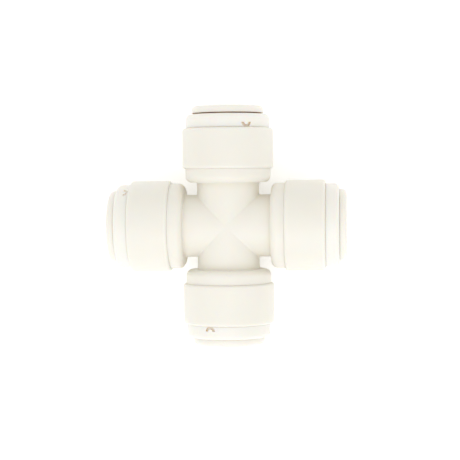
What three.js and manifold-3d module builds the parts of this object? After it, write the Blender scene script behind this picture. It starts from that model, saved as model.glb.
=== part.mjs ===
// Equal cross push-fit connector for 3/8 in (9.53 mm) tube, in millimetres, +Z up.
// The origin is the crossing point of the two waterways. The ports point along +X, +Y, -X and -Y.
//
// One acetal body carries four identical ports. Each port holds, from the inside out, an O-ring, a
// backup washer, a snap-in cap with a conical throat, and a collet whose fingers carry steel teeth.
// A tube is pushed through the collet to the stop in the body. Pulling it draws the collet outwards,
// and the cone closes the fingers on it. Pressing the collet flange inwards releases it.

import * as THREE from "three";
import { mergeVertices } from "three/addons/utils/BufferGeometryUtils.js";
import Module from "manifold-3d";

const wasm = await Module();
wasm.setup();

// ---- Driving dimensions. "AT" is a distance from the origin along a port's axis. ----

const TUBE_R = 9.525 / 2;

const NECK_R = 6.35;
const WATERWAY_R = 3.6;
const CUP_R = 8.7;
const CUP_AT = 8.85;
const CUP_ROUND = 1.3;
const SLEEVE_R = 9.25;
const SLEEVE_AT = 11.65;
const SLEEVE_CHAMFER = 0.5;
const MOUTH_AT = 19.9;

const TUBE_STOP_AT = 7.2;
const TUBE_BORE_R = TUBE_R + 0.14;
const SEAT_R = 7.0;
const SEAT_AT = 10.9;
const COUNTERBORE_R = 7.9;
const COUNTERBORE_AT = 14.55;
const SNAP_AT = 16.35;
const SNAP_HEIGHT = 0.3;
const SNAP_HALF_LENGTH = 0.4;

const O_RING_WIRE_R = 1.15;
const O_RING_INNER_R = TUBE_R - 0.16;
const O_RING_AT = 12.25;

const WASHER_R = 6.9;
const WASHER_BORE_R = 5.05;
const WASHER_AT = 13.65;
const WASHER_THICK = 0.8;

const CAP_R = 8.5;
const CAP_PLUG_R = 7.75;
const CAP_PLUG_AT = 14.7;
const CAP_CHAMBER_R = 6.75;
const CAP_THROAT_R = 5.9;
const CAP_FRONT_AT = 22.7;
const CAP_ROUND = 0.9;
const GATE_R = 1.05;
const GATE_SETBACK = 1.0; // of its centre from the seam, so that its rim runs out at the seam
const GATE_DEPTH = 0.42;
const GATE_PIP_R = 0.36;

const CONE_SLOPE = 0.4; // radius lost per millimetre towards the mouth
const COLLET_TRAVEL = 1.6; // from pressed in, flange on cap, to gripping, heads on cone
const STOP_CLEARANCE = 0.05;

// The collet's places along the axis are those it has when it is pressed in.
const FLANGE_R = 7.3;
const FLANGE_THICK = 1.4;
const FLANGE_ROUND = 0.7;
const BARREL_R = 5.7;
const COLLET_BORE_R = TUBE_R + 0.12;
const LEAD_IN = 0.6;
const HEAD_R = 6.55;
const HEAD_AT = 15.0;
const HEAD_LENGTH = 0.9;
const NOSE_AT = 14.55;
const FINGERS = 6;
const SLOT_WIDTH = 1.0;
const SLOT_END_AT = 20.9;

const TOOTH_WIDTH = 2.4;
const TOOTH_THICK = 0.3;
const TOOTH_LENGTH = 1.9;
const TOOTH_TIP_R = TUBE_R - 0.26;
const TOOTH_TIP_AT = 15.2;
const TOOTH_LEAN = THREE.MathUtils.degToRad(50); // from the port's axis

const GAP = 0.1; // between pieces that rest on each other
const CUT_PAST = 1; // how far a cut runs on past the face it opens
const SIDES = 24; // of everything that is turned
const GATE_SIDES = 12;

// The ports: the turn about +Z that carries +Y to the port, where its cap's gate mark lies round the
// port's axis, in degrees from straight up towards the next port clockwise, and how far the collet
// stands out from where it is pressed in.
const PORTS = [
  { name: "north", turn: 0, gate: 31, standOff: 0.29 },
  { name: "east", turn: -90, gate: 205, standOff: 0.07 },
  { name: "south", turn: 180, gate: 22, standOff: 0.1 },
  { name: "west", turn: 90, gate: 55, standOff: 0.13 },
];

// ---- Materials ----

const MATERIALS = {
  body: new THREE.MeshStandardMaterial({ color: 0xf1eee2, roughness: 0.42 }),
  cap: new THREE.MeshStandardMaterial({ color: 0xf2efe4, roughness: 0.4 }),
  collet: new THREE.MeshStandardMaterial({ color: 0xf0e9d8, roughness: 0.38 }),
  washer: new THREE.MeshStandardMaterial({ color: 0xe9e6da, roughness: 0.5 }),
  seal: new THREE.MeshStandardMaterial({ color: 0x1b1b1d, roughness: 0.6 }),
  steel: new THREE.MeshStandardMaterial({ color: 0xc6c8ca, roughness: 0.3, metalness: 1 }),
};

// ---- Shape helpers. A profile is a list of [radius, at] points, turned about the +Y axis. ----

function arc([radius, at], size, fromDegrees, toDegrees, steps) {
  return Array.from({ length: steps + 1 }, (_, i) => {
    const angle = THREE.MathUtils.degToRad(fromDegrees + ((toDegrees - fromDegrees) * i) / steps);
    return [radius + size * Math.cos(angle), at + size * Math.sin(angle)];
  });
}

function revolve(profile) {
  const points = profile.map(([radius, at]) => new THREE.Vector2(radius, at));
  return new THREE.LatheGeometry(points, SIDES);
}

function revolveRing(profile) {
  return revolve([...profile, profile[0]]);
}

// The whole profile of a bar that is alike on both sides of the origin, from its outer half.
function mirrored(half) {
  const other = half.map(([radius, at]) => [radius, -at]).reverse();
  return [...other, ...half];
}

function solidOf(geometry) {
  const plain = new THREE.BufferGeometry();
  plain.setAttribute("position", geometry.getAttribute("position").clone());
  if (geometry.index) plain.setIndex(geometry.index.clone());
  const merged = mergeVertices(plain, 1e-4);
  return new wasm.Manifold(
    new wasm.Mesh({
      numProp: 3,
      vertProperties: new Float32Array(merged.getAttribute("position").array),
      triVerts: new Uint32Array(merged.index.array),
    }),
  );
}

function geometryOf(solid) {
  const mesh = solid.getMesh();
  const geometry = new THREE.BufferGeometry();
  geometry.setAttribute("position", new THREE.BufferAttribute(mesh.vertProperties, 3));
  geometry.setIndex(new THREE.BufferAttribute(mesh.triVerts, 1));
  const flat = geometry.toNonIndexed();
  flat.computeVertexNormals();
  return flat;
}

function piece(name, geometry, material) {
  const mesh = new THREE.Mesh(geometry, material);
  mesh.name = name;
  return mesh;
}

// ---- Body: two crossing bars with stepped sockets, less two crossing stepped bores ----

function makeBody() {
  const outside = mirrored([
    [NECK_R, CUP_AT],
    ...arc([CUP_R - CUP_ROUND, CUP_AT + CUP_ROUND], CUP_ROUND, -90, 0, 3),
    [CUP_R, SLEEVE_AT],
    [SLEEVE_R - SLEEVE_CHAMFER, SLEEVE_AT],
    [SLEEVE_R, SLEEVE_AT + SLEEVE_CHAMFER],
    [SLEEVE_R, MOUTH_AT - SLEEVE_CHAMFER],
    [SLEEVE_R - SLEEVE_CHAMFER, MOUTH_AT],
    [0, MOUTH_AT],
  ]);
  const grooveAt = SNAP_AT - SNAP_HALF_LENGTH - GAP;
  const grooveEnd = SNAP_AT + SNAP_HALF_LENGTH;
  const inside = mirrored([
    [WATERWAY_R, TUBE_STOP_AT],
    [TUBE_BORE_R, TUBE_STOP_AT],
    [TUBE_BORE_R, SEAT_AT],
    [SEAT_R, SEAT_AT],
    [SEAT_R, COUNTERBORE_AT],
    [COUNTERBORE_R, COUNTERBORE_AT],
    [COUNTERBORE_R, grooveAt],
    [COUNTERBORE_R + SNAP_HEIGHT, grooveAt],
    [COUNTERBORE_R + SNAP_HEIGHT, grooveEnd],
    [COUNTERBORE_R, grooveEnd + SNAP_HEIGHT],
    [COUNTERBORE_R, MOUTH_AT + CUT_PAST],
    [0, MOUTH_AT + CUT_PAST],
  ]);
  const alongY = (profile) => solidOf(revolve(profile));
  const alongX = (profile) => solidOf(revolve(profile).rotateZ(-Math.PI / 2));
  const bars = alongY(outside).add(alongX(outside));
  return geometryOf(bars.subtract(alongY(inside)).subtract(alongX(inside)));
}

// ---- Cap: a ring with a plug that snaps into the socket, and the cone that closes the collet ----

function makeCap(gateDegrees) {
  const coneStart = HEAD_AT + HEAD_LENGTH + COLLET_TRAVEL + STOP_CLEARANCE;
  const coneAt = (radius) => coneStart + (HEAD_R - radius) / CONE_SLOPE;
  const seamAt = MOUTH_AT + GAP;
  const profile = [
    [CAP_CHAMBER_R, CAP_PLUG_AT],
    [CAP_PLUG_R, CAP_PLUG_AT],
    [CAP_PLUG_R, SNAP_AT - SNAP_HALF_LENGTH],
    [CAP_PLUG_R + SNAP_HEIGHT, SNAP_AT - SNAP_HALF_LENGTH],
    [CAP_PLUG_R + SNAP_HEIGHT, SNAP_AT],
    [CAP_PLUG_R, SNAP_AT + SNAP_HALF_LENGTH],
    [CAP_PLUG_R, seamAt],
    [CAP_R, seamAt],
    ...arc([CAP_R - CAP_ROUND, CAP_FRONT_AT - CAP_ROUND], CAP_ROUND, 0, 90, 3),
    [CAP_THROAT_R, CAP_FRONT_AT],
    [CAP_THROAT_R, coneAt(CAP_THROAT_R)],
    [CAP_CHAMBER_R, coneAt(CAP_CHAMBER_R)],
  ];
  const gate = makeGateMark(seamAt + GATE_SETBACK, gateDegrees);
  return geometryOf(solidOf(revolveRing(profile)).subtract(gate));
}

// The half ring that the moulding gate leaves beside the seam, open on the side away from the seam.
function makeGateMark(middleAt, degrees) {
  const floor = CAP_R - GATE_DEPTH;
  const radialPeg = (radius, from, to) =>
    new THREE.CylinderGeometry(radius, radius, to - from, GATE_SIDES)
      .rotateX(Math.PI / 2)
      .translate(0, middleAt, (from + to) / 2)
      .rotateY(THREE.MathUtils.degToRad(degrees));
  const farHalf = new THREE.BoxGeometry(3 * GATE_R, 2 * GATE_R, CAP_R)
    .translate(0, middleAt + GATE_R, CAP_R)
    .rotateY(THREE.MathUtils.degToRad(degrees));
  const disc = solidOf(radialPeg(GATE_R, floor, CAP_R + CUT_PAST));
  const pip = solidOf(radialPeg(GATE_PIP_R, floor - CUT_PAST, CAP_R + 2 * CUT_PAST));
  return disc.subtract(pip).subtract(solidOf(farHalf));
}

// ---- O-ring and backup washer ----

function makeORing() {
  const centre = [O_RING_INNER_R + O_RING_WIRE_R, O_RING_AT];
  return revolveRing(arc(centre, O_RING_WIRE_R, 0, 315, 7));
}

function makeWasher() {
  const far = WASHER_AT + WASHER_THICK;
  return revolveRing([
    [WASHER_BORE_R, WASHER_AT],
    [WASHER_R, WASHER_AT],
    [WASHER_R, far],
    [WASHER_BORE_R, far],
  ]);
}

// ---- Collet: a flanged barrel slotted into fingers, each with a head that rides on the cone ----

function makeCollet() {
  const headEnd = HEAD_AT + HEAD_LENGTH;
  const flangeAt = CAP_FRONT_AT;
  const endAt = flangeAt + FLANGE_THICK;
  const profile = [
    [COLLET_BORE_R, NOSE_AT],
    [HEAD_R - (HEAD_AT - NOSE_AT), NOSE_AT],
    [HEAD_R, HEAD_AT],
    [HEAD_R, headEnd],
    [BARREL_R, headEnd + (HEAD_R - BARREL_R) / CONE_SLOPE],
    [BARREL_R, flangeAt],
    [FLANGE_R, flangeAt],
    ...arc([FLANGE_R - FLANGE_ROUND, endAt - FLANGE_ROUND], FLANGE_ROUND, 0, 90, 2),
    [COLLET_BORE_R + LEAD_IN, endAt],
    [COLLET_BORE_R, endAt - LEAD_IN],
  ];
  let collet = solidOf(revolveRing(profile));
  for (let i = 0; i < FINGERS; i++) {
    collet = collet.subtract(solidOf(makeSlot(i))).subtract(solidOf(makeTooth(i, GAP)));
  }
  return geometryOf(collet);
}

function makeSlot(index) {
  const length = SLOT_END_AT - NOSE_AT + CUT_PAST;
  const depth = HEAD_R + CUT_PAST;
  return new THREE.BoxGeometry(SLOT_WIDTH, length, depth)
    .translate(0, SLOT_END_AT - length / 2, depth / 2)
    .rotateY(((index + 0.5) * 2 * Math.PI) / FINGERS);
}

// ---- Teeth: stamped blades that lean into the port, so that a tube slides in but not out ----

// With grow, the shape is the pocket that holds the blade, larger by that much all round.
function makeTooth(index, grow = 0) {
  const half = TOOTH_THICK / 2 + grow;
  const tip = -grow;
  const root = TOOTH_LENGTH + grow;
  const width = TOOTH_WIDTH + 2 * grow;
  const outline = new THREE.Shape([
    new THREE.Vector2(tip, -half),
    new THREE.Vector2(root, -half),
    new THREE.Vector2(root, half),
    new THREE.Vector2(tip + 2 * half, half),
  ]);
  return new THREE.ExtrudeGeometry(outline, { depth: width, bevelEnabled: false })
    .translate(0, 0, -width / 2)
    .rotateZ(Math.PI / 2 - TOOTH_LEAN)
    .rotateY(-Math.PI / 2)
    .translate(0, TOOTH_TIP_AT, TOOTH_TIP_R)
    .rotateY((index * 2 * Math.PI) / FINGERS);
}

// ---- Assembly ----

function makePort({ name, turn, gate, standOff }) {
  const port = new THREE.Group();
  port.add(piece(`cap_${name}`, makeCap(gate), MATERIALS.cap));
  port.add(piece(`o_ring_${name}`, makeORing(), MATERIALS.seal));
  port.add(piece(`backup_washer_${name}`, makeWasher(), MATERIALS.washer));
  port.add(makeColletWithTeeth(name, standOff));
  port.rotation.z = THREE.MathUtils.degToRad(turn);
  return port;
}

function makeColletWithTeeth(name, standOff) {
  const slider = new THREE.Group();
  slider.add(piece(`collet_${name}`, makeCollet(), MATERIALS.collet));
  for (let i = 0; i < FINGERS; i++) {
    slider.add(piece(`tooth_${name}_${i + 1}`, makeTooth(i), MATERIALS.steel));
  }
  slider.position.y = standOff;
  return slider;
}

const crossFitting = new THREE.Group();
crossFitting.add(piece("body", makeBody(), MATERIALS.body));
for (const port of PORTS) crossFitting.add(makePort(port));

export default crossFitting;
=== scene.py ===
"""Looks of the push-fit cross fitting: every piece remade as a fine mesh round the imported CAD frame.

Lengths are in millimetres in the tables of sizes and in the profiles, and in metres in the scene.
A profile is a list of (radius, place along the port's axis, size of the round at that corner).
"""

import math

import bmesh
import bpy
import numpy as np
from mathutils import Matrix, Vector


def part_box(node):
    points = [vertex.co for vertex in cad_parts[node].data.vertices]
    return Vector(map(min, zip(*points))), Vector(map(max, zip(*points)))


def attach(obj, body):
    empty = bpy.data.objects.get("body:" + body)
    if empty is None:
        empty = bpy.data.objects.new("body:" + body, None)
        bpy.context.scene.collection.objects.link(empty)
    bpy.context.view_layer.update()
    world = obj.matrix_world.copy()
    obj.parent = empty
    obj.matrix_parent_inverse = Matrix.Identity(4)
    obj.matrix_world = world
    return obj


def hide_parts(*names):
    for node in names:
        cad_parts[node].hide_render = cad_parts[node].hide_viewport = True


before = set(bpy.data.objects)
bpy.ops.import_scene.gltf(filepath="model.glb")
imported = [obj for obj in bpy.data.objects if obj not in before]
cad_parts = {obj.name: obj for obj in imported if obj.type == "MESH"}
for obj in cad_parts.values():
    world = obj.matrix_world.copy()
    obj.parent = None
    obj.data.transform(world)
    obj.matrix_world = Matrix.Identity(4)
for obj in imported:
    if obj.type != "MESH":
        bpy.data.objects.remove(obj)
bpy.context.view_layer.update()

MM = 0.001

# ---- Ports: the turn about +Z that carries +Y to the port ----

PORTS = {"north": 0, "east": -90, "south": 180, "west": 90}
FINGERS = 6

# ---- Places read from the frame, in millimetres: along a port's axis, and up from it ----


def reach(node, port="north"):
    """(nearest, farthest, top) of a node, seen from its port."""
    low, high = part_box(node)
    back = Matrix.Rotation(-math.radians(PORTS[port]), 3, "Z")
    near, far = sorted((back @ corner).y / MM for corner in (low, high))
    return near, far, high.z / MM


MOUTH_AT, SLEEVE_R = reach("body")[1:]
CAP_PLUG_AT, CAP_FRONT_AT, CAP_R = reach("cap_north")
NOSE_AT, COLLET_END_AT, FLANGE_R = reach("collet_north")
O_RING_FROM, O_RING_TO, O_RING_R = reach("o_ring_north")
WASHER_FROM, WASHER_TO, WASHER_R = reach("backup_washer_north")
TOOTH_TIP_AT, TOOTH_ROOT_AT, TOOTH_TOP_R = reach("tooth_north_1")
TOOTH_WIDTH = (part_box("tooth_north_1")[1].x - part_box("tooth_north_1")[0].x) / MM
TOOTH_TIP_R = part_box("tooth_north_1")[0].z / MM

# ---- Other driving dimensions, in millimetres ----

TUBE_R = 9.525 / 2
NECK_R = 6.35
NECK_FILLET = 0.3
NECK_END_AT = 7.8  # where the rows of the crossing necks join the turned ones
WATERWAY_R = 3.6
CUP_R = 8.7
CUP_AT = 8.85
SLEEVE_AT = 11.65
SLEEVE_ROUND = 0.55
TUBE_STOP_AT = 7.2
TUBE_BORE_R = TUBE_R + 0.14
SEAT_R = 7.0
SEAT_AT = 10.9
COUNTERBORE_R = 7.9
COUNTERBORE_AT = 14.55
SNAP_FROM, SNAP_TO = 15.85, 16.75
SNAP_HEIGHT = 0.3

CAP_PLUG_R = 7.75
CAP_CHAMBER_R = 6.75
CAP_THROAT_R = 5.9
CAP_ROUND = 0.9
CONE_FROM, CONE_TO = 17.05, 19.175
# The visible gap between each cap's ring and the body's mouth.
SEAM = {"north": 0.008, "east": 0.002, "south": 0.015, "west": 0.03}
GATE_TURN = {"north": 31, "east": 205, "south": 22, "west": 55}  # round the port, from straight up
GATE_DEPTH = {"north": 0.48, "east": 0.4, "south": 0.42, "west": 0.22}
GATE_R = 1.03
GATE_PIP_R = 0.46
GATE_SETBACK = 0.98  # of the scar's middle from the seam

FLANGE_THICK = 1.44
FLANGE_ROUND = 0.75
BARREL_R = 5.7
COLLET_BORE_R = TUBE_R + 0.12
HEAD_R = 6.55
HEAD_FROM = NOSE_AT + 0.45
HEAD_TO = HEAD_FROM + 0.9
HEAD_CONE_END = HEAD_TO + 2.125
SLOT_WIDTH = 1.0
SLOT_END_AT = NOSE_AT + 6.35
TOOTH_THICK = 0.3
TOOTH_BEVEL = 0.05
POCKET_GAP = 0.08  # round each tooth

WASHER_BORE_R = TUBE_R + 0.29

PARTING_RIDGE = 0.035  # height of the mould's parting line
PARTING_HALF_WIDTH = 0.8  # in degrees round the arm
ROUND_SIDES = 144
ROUND_STEPS = 7  # in a quarter turn of an edge round
ROW_SPACING = 0.5  # the longest step between two rows of a turned shape
BRIDGE_STEPS = 5  # between the rows where arms cross and the turned ones
PEG_SIDES = 48
SHARP_DEGREES = 32  # edges that turn more than this stay sharp
WELD_DISTANCE = 0.0005


# ---- Mesh helpers ----


def rounded(corners, closed=False):
    """The profile's points, with an arc at each corner that has a round."""
    points = []
    for i, (radius, at, size) in enumerate(corners):
        here = Vector((radius, at))
        is_end = not closed and i in (0, len(corners) - 1)
        if size == 0 or is_end:
            points.append(here)
            continue
        back = (Vector(corners[i - 1][:2]) - here).normalized()
        ahead = (Vector(corners[(i + 1) % len(corners)][:2]) - here).normalized()
        half = back.angle(ahead) / 2
        centre = here + (back + ahead).normalized() * (size / math.sin(half))
        start = here + back * (size / math.tan(half)) - centre
        end = here + ahead * (size / math.tan(half)) - centre
        sweep = start.angle_signed(end)
        steps = max(2, round(ROUND_STEPS * abs(sweep) / (math.pi / 2)))
        for k in range(steps + 1):
            points.append(centre + Matrix.Rotation(-sweep * k / steps, 2) @ start)
    return [tuple(p) for p in points]


def spaced(points, closed=False):
    """The profile's points, with more of them where two lie further apart than ROW_SPACING."""
    ends = points[1:] + points[:1] if closed else points[1:]
    result = []
    for start, end in zip(points, ends):
        steps = max(1, math.ceil(math.dist(start, end) / ROW_SPACING))
        result += [tuple(Vector(start).lerp(Vector(end), k / steps)) for k in range(steps)]
    return result if closed else result + [points[-1]]


def turns(extra=()):
    """The angles of the columns of a turned shape, from straight up."""
    angles = [2 * math.pi * i / ROUND_SIDES for i in range(ROUND_SIDES)]
    return np.array(sorted(set(angles) | set(extra)))


def turned_rows(points, angles):
    """One row of positions for each profile point, turned about the Y axis."""
    return [
        np.stack([r * np.sin(angles), np.full_like(angles, at), r * np.cos(angles)], axis=1)
        for r, at in points
    ]


def mesh_object(name, rows, closed):
    """An object whose mesh joins each row to the next, and each row's end to its start."""
    columns = len(rows[0])
    faces = []
    for i in range(len(rows) if closed else len(rows) - 1):
        first, second = i * columns, (i + 1) % len(rows) * columns
        for j in range(columns):
            k = (j + 1) % columns
            faces.append((first + j, first + k, second + k, second + j))
    mesh = bpy.data.meshes.new(name)
    mesh.from_pydata((np.concatenate(rows) * MM).tolist(), [], faces)
    obj = bpy.data.objects.new(name, mesh)
    bpy.context.scene.collection.objects.link(obj)
    return obj


def turned_ring(name, corners):
    """A ring turned about the Y axis from a closed profile."""
    points = spaced(rounded(corners, closed=True), closed=True)
    obj = mesh_object(name, turned_rows(points, turns()), closed=True)
    face_out(obj)
    return obj


def edit(obj, change):
    """Runs change on the object's mesh as a bmesh."""
    bm = bmesh.new()
    bm.from_mesh(obj.data)
    change(bm)
    bm.to_mesh(obj.data)
    bm.free()


def face_out(obj):
    edit(obj, lambda bm: bmesh.ops.recalc_face_normals(bm, faces=bm.faces))


def weld(obj):
    edit(obj, lambda bm: bmesh.ops.remove_doubles(bm, verts=bm.verts, dist=WELD_DISTANCE * MM))


def apply_modifiers(obj):
    """Replaces the object's mesh by its modified one."""
    graph = bpy.context.evaluated_depsgraph_get()
    mesh = bpy.data.meshes.new_from_object(obj.evaluated_get(graph))
    obj.modifiers.clear()
    obj.data = mesh


def cut(obj, cutters):
    """Takes the cutters away from the object, and removes them."""
    for cutter in cutters:
        modifier = obj.modifiers.new("cut", "BOOLEAN")
        modifier.operation = "DIFFERENCE"
        modifier.solver = "EXACT"
        modifier.object = cutter
    apply_modifiers(obj)
    for cutter in cutters:
        bpy.data.objects.remove(cutter)


def smooth(obj):
    """Smooth shading with sharp edges kept, where large faces set the normals."""
    obj.data.shade_smooth()
    obj.data.set_sharp_from_angle(angle=math.radians(SHARP_DEGREES))
    modifier = obj.modifiers.new("normals", "WEIGHTED_NORMAL")
    modifier.keep_sharp = True
    apply_modifiers(obj)


def turn(obj, degrees):
    obj.data.transform(Matrix.Rotation(math.radians(degrees), 4, "Z"))


def turn_about_port(obj, degrees):
    obj.data.transform(Matrix.Rotation(math.radians(degrees), 4, "Y"))


def object_from(bm, name):
    """An object with the bmesh as its mesh. The bmesh is used up."""
    mesh = bpy.data.meshes.new(name)
    bm.to_mesh(mesh)
    bm.free()
    obj = bpy.data.objects.new(name, mesh)
    bpy.context.scene.collection.objects.link(obj)
    return obj


def radial_peg(name, radius, low, high, at, degrees):
    """A round peg standing out of the port's axis, straight up and then turned round the port."""
    bm = bmesh.new()
    bmesh.ops.create_cone(
        bm,
        cap_ends=True,
        segments=PEG_SIDES,
        radius1=radius * MM,
        radius2=radius * MM,
        depth=(high - low) * MM,
        matrix=Matrix.Translation(Vector((0, at, (low + high) / 2)) * MM),
    )
    obj = object_from(bm, name)
    turn_about_port(obj, degrees)
    return obj


def block(name, size, place, degrees):
    """A box of this size at this place, turned round the port, for cutting."""
    bm = bmesh.new()
    bmesh.ops.create_cube(bm, size=1)
    bmesh.ops.transform(
        bm,
        matrix=Matrix.Translation(Vector(place) * MM) @ Matrix.Diagonal((*(Vector(size) * MM), 1)),
        verts=bm.verts,
    )
    obj = object_from(bm, name)
    turn_about_port(obj, degrees)
    return obj


def settle(obj, node, body, material):
    """Gives the finished piece its shading, its material and its body, and hides the CAD node it
    stands for.
    """
    smooth(obj)
    obj.data.materials.clear()
    obj.data.materials.append(material)
    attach(obj, body)
    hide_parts(node)


# ---- Body ----


def neck_fillet_rows(angles):
    """Rows from the crease between two necks, over its fillet, to the neck's own round.

    A ball of the fillet's size rolls along the crease, touching both necks."""
    sine, cosine = np.sin(angles), np.cos(angles)
    centre = crease_row(NECK_R + NECK_FILLET, angles)
    to_neck = -np.stack([sine, np.zeros_like(sine), cosine], axis=1)
    to_crease = -np.stack([sine, np.abs(sine), 2 * cosine], axis=1)
    rows = []
    for share in np.linspace(0, 1, ROUND_STEPS + 1):
        direction = to_crease * (1 - share) + to_neck * share
        direction /= np.linalg.norm(direction, axis=1, keepdims=True)
        rows.append(centre + NECK_FILLET * direction)
    return rows


def crease_row(radius, angles):
    """The curve where two crossing round bars or bores of this radius meet."""
    sine, cosine = np.sin(angles), np.cos(angles)
    return radius * np.stack([sine, np.abs(sine), cosine], axis=1)


def add_parting_ridge(rows, angles):
    """Lifts the rows' points at the mould's parting plane, square to +Z through the port's axis."""
    side = np.isclose(np.abs(np.sin(angles)), 1)
    for row in rows:
        row[side, 0] += np.sign(row[side, 0]) * PARTING_RIDGE


def bridge_rows(start, end):
    """Rows between two rows, evenly spaced, without those two."""
    return [start + (end - start) * k / BRIDGE_STEPS for k in range(1, BRIDGE_STEPS)]


def make_body(material):
    half_width = math.radians(PARTING_HALF_WIDTH)
    extra = [side + k * half_width for side in (math.pi / 2, 3 * math.pi / 2) for k in (-1, 1)]
    angles = turns(extra)
    outside = spaced(rounded([
        (NECK_R, NECK_END_AT, 0),
        (NECK_R, CUP_AT, 0.3),
        (CUP_R, CUP_AT, 1.3),
        (CUP_R, SLEEVE_AT, 0.1),
        (SLEEVE_R, SLEEVE_AT, SLEEVE_ROUND),
        (SLEEVE_R, MOUTH_AT, SLEEVE_ROUND),
        (COUNTERBORE_R, MOUTH_AT, 0),
    ]))
    inside = spaced(rounded([
        (COUNTERBORE_R, MOUTH_AT, 0),
        (COUNTERBORE_R, SNAP_TO + SNAP_HEIGHT, 0.1),
        (COUNTERBORE_R + SNAP_HEIGHT, SNAP_TO, 0.1),
        (COUNTERBORE_R + SNAP_HEIGHT, SNAP_FROM, 0.05),
        (COUNTERBORE_R, SNAP_FROM, 0.05),
        (COUNTERBORE_R, COUNTERBORE_AT, 0.1),
        (SEAT_R, COUNTERBORE_AT, 0.15),
        (SEAT_R, SEAT_AT, 0.3),
        (TUBE_BORE_R, SEAT_AT, 0.15),
        (TUBE_BORE_R, TUBE_STOP_AT, 0.15),
        (WATERWAY_R, TUBE_STOP_AT, 0.2),
        (WATERWAY_R, WATERWAY_R + 1, 0),
    ]))
    skin = turned_rows(outside[:-1], angles)
    add_parting_ridge(skin, angles)
    neck = neck_fillet_rows(angles)
    bore = turned_rows(inside, angles)
    crossing = crease_row(WATERWAY_R, angles)
    rows = neck + bridge_rows(neck[-1], skin[0]) + skin + bore
    rows += bridge_rows(bore[-1], crossing) + [crossing]
    arms = []
    for port, degrees in PORTS.items():
        arm = mesh_object(f"arm_{port}", rows, closed=False)
        turn(arm, degrees)
        arms.append(arm)
    body = arms[0]
    merged = bmesh.new()
    for arm in arms:
        merged.from_mesh(arm.data)
    merged.to_mesh(body.data)
    merged.free()
    for arm in arms[1:]:
        bpy.data.objects.remove(arm)
    body.name = "fitting_body"
    weld(body)
    face_out(body)
    settle(body, "body", "fitting", material)


# ---- Cap ----


def gate_scar(middle_at, degrees, depth):
    """The cutter for the scar of the mould's gate: half a ring, open away from the seam."""
    floor, above = CAP_R - depth, CAP_R + 1
    scar = radial_peg("scar", GATE_R, floor, above, middle_at, 0)
    pip = radial_peg("pip", GATE_PIP_R, floor - 1, above + 1, middle_at, 0)
    far_half = block("far_half", (4, 2, 6), (0, middle_at + 1, CAP_R), 0)
    cut(scar, [pip, far_half])
    turn_about_port(scar, degrees)
    return scar


def make_cap(port, material):
    seam_at = MOUTH_AT + SEAM[port]
    cap = turned_ring(f"end_cap_{port}", [
        (CAP_CHAMBER_R, CAP_PLUG_AT, 0.1),
        (CAP_PLUG_R, CAP_PLUG_AT, 0.25),
        (CAP_PLUG_R, SNAP_FROM + 0.1, 0.05),
        (CAP_PLUG_R + SNAP_HEIGHT, SNAP_FROM + 0.1, 0.05),
        (CAP_PLUG_R, SNAP_TO, 0.1),
        (CAP_PLUG_R, seam_at, 0.05),
        (CAP_R, seam_at, 0.08),
        (CAP_R, CAP_FRONT_AT, CAP_ROUND),
        (CAP_THROAT_R, CAP_FRONT_AT, 0.2),
        (CAP_THROAT_R, CONE_TO, 0.1),
        (CAP_CHAMBER_R, CONE_FROM, 0.1),
    ])
    cut(cap, [gate_scar(seam_at + GATE_SETBACK, GATE_TURN[port], GATE_DEPTH[port])])
    turn(cap, PORTS[port])
    settle(cap, f"cap_{port}", "fitting", material)


# ---- O-ring and backup washer ----


def make_seal(port, material):
    wire = (O_RING_TO - O_RING_FROM) / 2
    low_r = O_RING_R - 2 * wire
    ring = turned_ring(f"seal_ring_{port}", [
        (low_r, O_RING_FROM, wire),
        (O_RING_R, O_RING_FROM, wire),
        (O_RING_R, O_RING_TO, wire),
        (low_r, O_RING_TO, wire),
    ])
    weld(ring)
    turn(ring, PORTS[port])
    settle(ring, f"o_ring_{port}", "fitting", material)


def make_washer(port, material):
    washer = turned_ring(f"spacer_{port}", [
        (WASHER_BORE_R, WASHER_FROM, 0.15),
        (WASHER_R, WASHER_FROM, 0.15),
        (WASHER_R, WASHER_TO, 0.15),
        (WASHER_BORE_R, WASHER_TO, 0.15),
    ])
    turn(washer, PORTS[port])
    settle(washer, f"backup_washer_{port}", "fitting", material)


# ---- Collet and teeth ----


def stand_off(obj, port):
    """Moves a piece made for the north port along it, to where this port's collet rests."""
    shift = reach(f"collet_{port}", port)[1] - COLLET_END_AT
    obj.data.transform(Matrix.Translation((0, shift * MM, 0)))


def slot_cutter(index):
    """A slot between two fingers, with a round end so that the fingers don't tear."""
    degrees = (index + 0.5) * 360 / FINGERS
    end_at = SLOT_END_AT - SLOT_WIDTH / 2
    length = end_at - NOSE_AT + 1
    low, high = 1, HEAD_R + 1
    place = (0, end_at - length / 2, (low + high) / 2)
    bar = block(f"slot_{index}", (SLOT_WIDTH, length, high - low), place, degrees)
    end = radial_peg(f"slot_end_{index}", SLOT_WIDTH / 2, low, high, end_at, degrees)
    return [bar, end]


def tooth_blade(name, index, grow=0.0):
    """A stamped blade that leans into the port. With grow it is the pocket that holds it."""
    rise = TOOTH_TOP_R - TOOTH_TIP_R
    run = TOOTH_ROOT_AT - TOOTH_TIP_AT
    length = math.hypot(rise, run) - TOOTH_THICK / 2
    size = [side + 2 * grow for side in (TOOTH_WIDTH, length, TOOTH_THICK)]
    blade = block(name, size, (0, 0, 0), 0)
    lean = Matrix.Rotation(math.atan2(rise, run), 4, "X")
    middle = Vector((0, (TOOTH_TIP_AT + TOOTH_ROOT_AT) / 2, (TOOTH_TIP_R + TOOTH_TOP_R) / 2)) * MM
    blade.data.transform(Matrix.Translation(middle) @ lean)
    turn_about_port(blade, index * 360 / FINGERS)
    return blade


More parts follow.
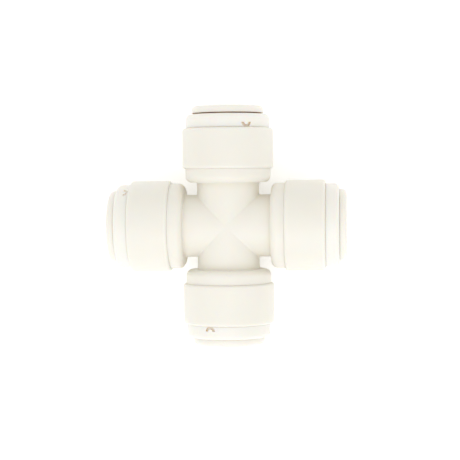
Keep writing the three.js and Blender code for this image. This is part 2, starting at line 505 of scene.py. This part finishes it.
def make_collet(port, material):
    flange_at = COLLET_END_AT - FLANGE_THICK
    collet = turned_ring(f"grab_collet_{port}", [
        (COLLET_BORE_R, NOSE_AT, 0.15),
        (HEAD_R - (HEAD_FROM - NOSE_AT), NOSE_AT, 0.1),
        (HEAD_R, HEAD_FROM, 0.1),
        (HEAD_R, HEAD_TO, 0.1),
        (BARREL_R, HEAD_CONE_END, 0.3),
        (BARREL_R, flange_at, 0.2),
        (FLANGE_R, flange_at, 0.05),
        (FLANGE_R, COLLET_END_AT, FLANGE_ROUND),
        (COLLET_BORE_R, COLLET_END_AT, 0.6),
    ])
    cutters = [piece for i in range(FINGERS) for piece in slot_cutter(i)]
    cutters += [tooth_blade(f"pocket_{i}", i, grow=POCKET_GAP) for i in range(FINGERS)]
    cut(collet, cutters)
    stand_off(collet, port)
    turn(collet, PORTS[port])
    settle(collet, f"collet_{port}", f"collet_{port}", material)


def make_tooth(port, index, material):
    tooth = tooth_blade(f"grip_tooth_{port}_{index + 1}", index)
    bevel = tooth.modifiers.new("bevel", "BEVEL")
    bevel.width = TOOTH_BEVEL * MM
    bevel.segments = 3
    apply_modifiers(tooth)
    stand_off(tooth, port)
    turn(tooth, PORTS[port])
    settle(tooth, f"tooth_{port}_{index + 1}", f"collet_{port}", material)


# ---- Materials ----


EDGE_HIGHLIGHT_REACH = 0.8  # how far in from an edge the painted highlight reaches, in millimetres
GAP_SHADE_COLOUR = (0.9, 0.63, 0.36)  # painted shade, tinted amber like light bounced in the plastic, deep in the gaps between pieces
GAP_SHADE_REACH = 0.9
CORNER_SHADE_COLOUR = (0.72, 0.63, 0.45)  # painted shade in the wide corners
CORNER_SHADE_REACH = 2.5
# The two painted shades fade in between these heights above the floor. Lower down, the surface lies
# so close to the floor that all of it would count as a gap.
UNSHADED_BELOW, SHADED_ABOVE = 0.4, 1.2


class Nodes:
    """A material's node tree, with short calls to add and join its nodes."""

    def __init__(self, name):
        self.material = bpy.data.materials.new(name)
        self.material.use_nodes = True
        self.tree = self.material.node_tree
        self.shader = self.tree.nodes["Principled BSDF"]
        self.place = self.add("ShaderNodeTexCoord").outputs["Object"]
        split = self.add("ShaderNodeSeparateXYZ")
        self.join(self.place, split.inputs["Vector"])
        self.height = split.outputs["Z"]

    def add(self, kind, **settings):
        node = self.tree.nodes.new(kind)
        for key, value in settings.items():
            setattr(node, key, value)
        return node

    def join(self, output, socket):
        self.tree.links.new(output, socket)

    def noise(self, scale, detail=3.0, roughness=0.55, stretch=None):
        """A noise of this many features a metre, from 0 to 1."""
        node = self.add("ShaderNodeTexNoise")
        node.inputs["Scale"].default_value = scale
        node.inputs["Detail"].default_value = detail
        node.inputs["Roughness"].default_value = roughness
        place = self.place
        if stretch:
            mapping = self.add("ShaderNodeMapping")
            mapping.inputs["Scale"].default_value = stretch
            self.join(place, mapping.inputs["Vector"])
            place = mapping.outputs["Vector"]
        self.join(place, node.inputs["Vector"])
        return node.outputs["Fac"]

    def free_air(self, reach_mm, inside=False):
        """How much is open within this reach, from 0 to 1, outside the surface or inside the piece."""
        node = self.add("ShaderNodeAmbientOcclusion", samples=8, inside=inside, only_local=inside)
        node.inputs["Distance"].default_value = reach_mm * MM
        return node.outputs["AO"]

    def spread(self, value, low, high, from_low=0.3, from_high=0.7):
        """The value, carried from one range to another and held inside it."""
        node = self.add("ShaderNodeMapRange")
        node.inputs["From Min"].default_value = from_low
        node.inputs["From Max"].default_value = from_high
        node.inputs["To Min"].default_value = low
        node.inputs["To Max"].default_value = high
        self.join(value, node.inputs["Value"])
        return node.outputs["Result"]

    def product(self, first, second):
        node = self.add("ShaderNodeMath", operation="MULTIPLY")
        self.join(first, node.inputs[0])
        self.join(second, node.inputs[1])
        return node.outputs["Value"]

    def mix(self, share, first, second):
        """The first colour, turning into the second one by share."""
        node = self.add("ShaderNodeMix", data_type="RGBA")
        self.join(share, node.inputs["Factor"])
        for colour, socket in ((first, node.inputs["A"]), (second, node.inputs["B"])):
            if isinstance(colour, tuple):
                socket.default_value = (*colour, 1)
            else:
                self.join(colour, socket)
        return node.outputs["Result"]

    def bump(self, height, distance_mm, normal=None):
        node = self.add("ShaderNodeBump")
        node.inputs["Distance"].default_value = distance_mm * MM
        self.join(height, node.inputs["Height"])
        if normal:
            self.join(normal, node.inputs["Normal"])
        return node.outputs["Normal"]


def acetal(name, colour, shade, edge, rough):
    """Moulded acetal: milky, mottled, finely grained, with a painted highlight at its edges and
    painted shade in its corners and gaps.
    """
    n = Nodes(name)
    mottle = n.spread(n.noise(130, detail=2), 0, 0.6)
    base = n.mix(mottle, colour, shade)
    # Painted highlight: the convex edges turn to the lighter edge colour.
    edge_highlight = n.spread(n.free_air(EDGE_HIGHLIGHT_REACH, inside=True), 0.9, 0, 0.5, 0.92)
    base = n.mix(edge_highlight, base, edge)
    low, high = [(height - SLEEVE_R) * MM for height in (UNSHADED_BELOW, SHADED_ABOVE)]
    off_floor = n.spread(n.height, 0, 1, low, high)
    # Painted shade: the wide corners turn towards a darker brown.
    corner = n.spread(n.free_air(CORNER_SHADE_REACH), 0.42, 0, 0.35, 0.85)
    base = n.mix(n.product(corner, off_floor), base, CORNER_SHADE_COLOUR)
    # Painted shade: narrow gaps and recesses turn to a dark amber.
    gap_shade = n.spread(n.free_air(GAP_SHADE_REACH), 0.72, 0, 0.1, 0.5)
    base = n.mix(n.product(gap_shade, off_floor), base, GAP_SHADE_COLOUR)
    n.join(base, n.shader.inputs["Base Color"])
    n.join(n.spread(n.noise(420), rough - 0.06, rough + 0.07), n.shader.inputs["Roughness"])
    grain = n.bump(n.noise(9000, detail=2), 0.006)
    waves = n.bump(n.noise(260, detail=1), 0.03, grain)
    n.join(waves, n.shader.inputs["Normal"])
    n.shader.inputs["IOR"].default_value = 1.48
    n.shader.inputs["Subsurface Weight"].default_value = 0.35
    n.shader.inputs["Subsurface Radius"].default_value = (1.0, 0.72, 0.42)
    n.shader.inputs["Subsurface Scale"].default_value = 1.2 * MM
    return n.material


def greased_rubber():
    n = Nodes("greased_epdm")
    dust = n.spread(n.noise(900), 0, 0.35)
    n.join(n.mix(dust, (0.012, 0.012, 0.013), (0.035, 0.034, 0.032)), n.shader.inputs["Base Color"])
    n.join(n.spread(n.noise(500), 0.25, 0.5), n.shader.inputs["Roughness"])
    n.join(n.bump(n.noise(6000), 0.008), n.shader.inputs["Normal"])
    return n.material


def stamped_steel():
    n = Nodes("stamped_steel")
    streaks = n.noise(2500, stretch=(1, 6, 1))
    n.join(n.mix(streaks, (0.42, 0.42, 0.43), (0.66, 0.66, 0.67)), n.shader.inputs["Base Color"])
    n.join(n.spread(streaks, 0.2, 0.42), n.shader.inputs["Roughness"])
    n.join(n.bump(streaks, 0.003), n.shader.inputs["Normal"])
    n.shader.inputs["Metallic"].default_value = 1
    return n.material


# ---- Stage: floor, lights and camera ----

SENSOR_MM = 36
EYE_DISTANCE = 271.0  # from the fitting's middle to the camera
EYE_ASIDE = (0.32, -0.9)  # the camera's offset from the middle, across and up the picture
YAW, PITCH, ROLL = -4.9, 2.35, 0.54  # turns of the fitting before the camera, in degrees
LENS_MM = 103.5
ROOM_LIGHT = 0.875
FLOOR_GLOW = 0.28
FLOOR_HALF_SIZE = 2  # metres
KEY_WATTS = 0.26
KEY_COLOUR = (0.97, 0.99, 1.05)
KEY_SIZE, KEY_DISTANCE, KEY_RISE = 0.3, 0.3, 60  # metres, metres and degrees above the floor


def make_camera():
    data = bpy.data.cameras.new("camera")
    data.lens = LENS_MM
    data.sensor_width = SENSOR_MM
    camera = bpy.data.objects.new("camera", data)
    turns_of_part = (
        Matrix.Rotation(math.radians(ROLL), 3, "Z")
        @ Matrix.Rotation(math.radians(PITCH), 3, "X")
        @ Matrix.Rotation(math.radians(YAW), 3, "Y")
    )
    to_part = turns_of_part.transposed()
    eye = to_part @ Vector((*EYE_ASIDE, EYE_DISTANCE)) * MM
    camera.matrix_world = Matrix.Translation(eye) @ to_part.to_4x4()
    data.clip_start = 0.01
    bpy.context.scene.collection.objects.link(camera)
    bpy.context.scene.camera = camera


def make_floor():
    bm = bmesh.new()
    bmesh.ops.create_grid(bm, x_segments=1, y_segments=1, size=FLOOR_HALF_SIZE)
    floor = object_from(bm, "floor")
    floor.location.z = -SLEEVE_R * MM
    n = Nodes("white_sweep")
    n.join(n.mix(n.noise(40), (0.93, 0.93, 0.925), (0.96, 0.96, 0.955)), n.shader.inputs["Base Color"])
    n.shader.inputs["Roughness"].default_value = 0.9
    n.shader.inputs["Emission Color"].default_value = (1, 1, 1, 1)
    n.shader.inputs["Emission Strength"].default_value = FLOOR_GLOW
    floor.data.materials.append(n.material)


def make_key_light():
    """A round softbox that stands off the south port and looks down on the fitting."""
    data = bpy.data.lights.new("key", "AREA")
    data.shape = "DISK"
    data.size = KEY_SIZE
    data.energy = KEY_WATTS
    data.color = KEY_COLOUR
    light = bpy.data.objects.new("key", data)
    rise = math.radians(KEY_RISE)
    light.location = Vector((0, -math.cos(rise), math.sin(rise))) * KEY_DISTANCE
    light.rotation_euler = (-light.location).to_track_quat("-Z", "Y").to_euler()
    bpy.context.scene.collection.objects.link(light)


def make_world():
    world = bpy.data.worlds.new("soft_white_room")
    world.use_nodes = True
    background = world.node_tree.nodes["Background"]
    background.inputs["Color"].default_value = (1, 1, 1, 1)
    background.inputs["Strength"].default_value = ROOM_LIGHT
    bpy.context.scene.world = world


def make_stage():
    make_camera()
    make_floor()
    make_world()
    make_key_light()
    bpy.context.scene.view_settings.view_transform = "Standard"


# ---- Scene ----

make_stage()
BODY = acetal("body_acetal", (0.866, 0.838, 0.757), (0.844, 0.811, 0.722), (0.92, 0.905, 0.85), 0.42)
CAP = acetal("cap_acetal", (0.892, 0.87, 0.80), (0.875, 0.85, 0.775), (0.93, 0.918, 0.87), 0.4)
COLLET = acetal("collet_acetal", (0.895, 0.86, 0.785), (0.875, 0.835, 0.75), (0.92, 0.9, 0.84), 0.38)
WASHER = acetal("washer_acetal", (0.80, 0.77, 0.69), (0.77, 0.73, 0.64), (0.84, 0.82, 0.75), 0.48)
SEAL = greased_rubber()
STEEL = stamped_steel()

make_body(BODY)
for port in PORTS:
    make_cap(port, CAP)
    make_seal(port, SEAL)
    make_washer(port, WASHER)
    make_collet(port, COLLET)
    for index in range(FINGERS):
        make_tooth(port, index, STEEL)
